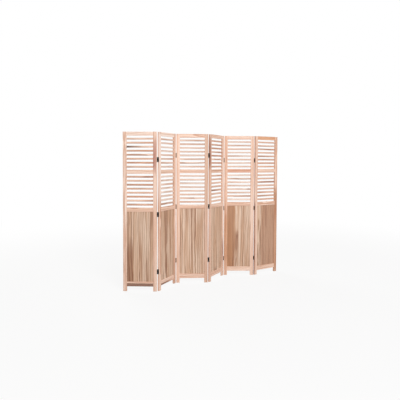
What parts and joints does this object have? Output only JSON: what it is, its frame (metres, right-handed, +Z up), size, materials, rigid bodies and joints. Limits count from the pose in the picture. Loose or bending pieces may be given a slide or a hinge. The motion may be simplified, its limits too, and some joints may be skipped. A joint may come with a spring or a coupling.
{
  "type": "folding screen",
  "caption": "Free-standing wooden folding screen of hinged panels, louvred above and boarded below, that screens off part of a room and folds into a flat stack.",
  "frame": {"origin": "on the floor, under the middle of the screen as it stands, half folded", "axes": "+X along the row of panels from the first to the last, -Y towards the front, which sees the lower edge of each slat, +Z up"},
  "size_m": [1.7377, 0.8931, 1.65],
  "materials": {
    "stile_pine": "satin clear lacquer",
    "rail_pine": "satin clear lacquer",
    "slat_pine": "satin clear lacquer",
    "board_pine": "satin clear lacquer",
    "hinge_steel": "black, semi-gloss"
  },
  "bodies": {
    "panel_1": {"panel_1_left_stile": "stile_pine", "panel_1_right_stile": "stile_pine", "panel_1_bottom_rail": "rail_pine", "panel_1_lock_rail": "rail_pine", "panel_1_middle_rail": "rail_pine", "panel_1_top_rail": "rail_pine", "panel_1_louvre_slats": "slat_pine", "panel_1_boards": "board_pine", "hinge_1_2_pin_leaves": "hinge_steel"},
    "panel_2": {"panel_2_left_stile": "stile_pine", "panel_2_right_stile": "stile_pine", "panel_2_bottom_rail": "rail_pine", "panel_2_lock_rail": "rail_pine", "panel_2_middle_rail": "rail_pine", "panel_2_top_rail": "rail_pine", "panel_2_louvre_slats": "slat_pine", "panel_2_boards": "board_pine", "hinge_1_2_free_leaves": "hinge_steel", "hinge_2_3_pin_leaves": "hinge_steel"},
    "panel_3": {"panel_3_left_stile": "stile_pine", "panel_3_right_stile": "stile_pine", "panel_3_bottom_rail": "rail_pine", "panel_3_lock_rail": "rail_pine", "panel_3_middle_rail": "rail_pine", "panel_3_top_rail": "rail_pine", "panel_3_louvre_slats": "slat_pine", "panel_3_boards": "board_pine", "hinge_2_3_free_leaves": "hinge_steel", "hinge_3_4_pin_leaves": "hinge_steel"},
    "panel_4": {"panel_4_left_stile": "stile_pine", "panel_4_right_stile": "stile_pine", "panel_4_bottom_rail": "rail_pine", "panel_4_lock_rail": "rail_pine", "panel_4_middle_rail": "rail_pine", "panel_4_top_rail": "rail_pine", "panel_4_louvre_slats": "slat_pine", "panel_4_boards": "board_pine", "hinge_3_4_free_leaves": "hinge_steel", "hinge_4_5_pin_leaves": "hinge_steel"},
    "panel_5": {"panel_5_left_stile": "stile_pine", "panel_5_right_stile": "stile_pine", "panel_5_bottom_rail": "rail_pine", "panel_5_lock_rail": "rail_pine", "panel_5_middle_rail": "rail_pine", "panel_5_top_rail": "rail_pine", "panel_5_louvre_slats": "slat_pine", "panel_5_boards": "board_pine", "hinge_4_5_free_leaves": "hinge_steel", "hinge_5_6_pin_leaves": "hinge_steel"},
    "panel_6": {"panel_6_left_stile": "stile_pine", "panel_6_right_stile": "stile_pine", "panel_6_bottom_rail": "rail_pine", "panel_6_lock_rail": "rail_pine", "panel_6_middle_rail": "rail_pine", "panel_6_top_rail": "rail_pine", "panel_6_louvre_slats": "slat_pine", "panel_6_boards": "board_pine", "hinge_5_6_free_leaves": "hinge_steel"}
  },
  "joints": [
    {"name": "fold_1_2", "type": "hinge", "parent": "panel_1", "child": "panel_2", "pos_m": [-0.51591, -0.42628, 0.825], "axis": [0, 0, 1], "range_deg": [-66, 114]},
    {"name": "fold_2_3", "type": "hinge", "parent": "panel_2", "child": "panel_3", "pos_m": [-0.33908, -0.11711, 0.825], "axis": [0, 0, -1], "range_deg": [-61, 119]},
    {"name": "fold_3_4", "type": "hinge", "parent": "panel_3", "child": "panel_4", "pos_m": [0.01461, -0.07514, 0.825], "axis": [0, 0, 1], "range_deg": [-58, 122]},
    {"name": "fold_4_5", "type": "hinge", "parent": "panel_4", "child": "panel_5", "pos_m": [0.20738, 0.22435, 0.825], "axis": [0, 0, -1], "range_deg": [-59.5, 120.5]},
    {"name": "fold_5_6", "type": "hinge", "parent": "panel_5", "child": "panel_6", "pos_m": [0.56204, 0.25705, 0.825], "axis": [0, 0, 1], "range_deg": [-31.5, 148.5]}
  ]
}
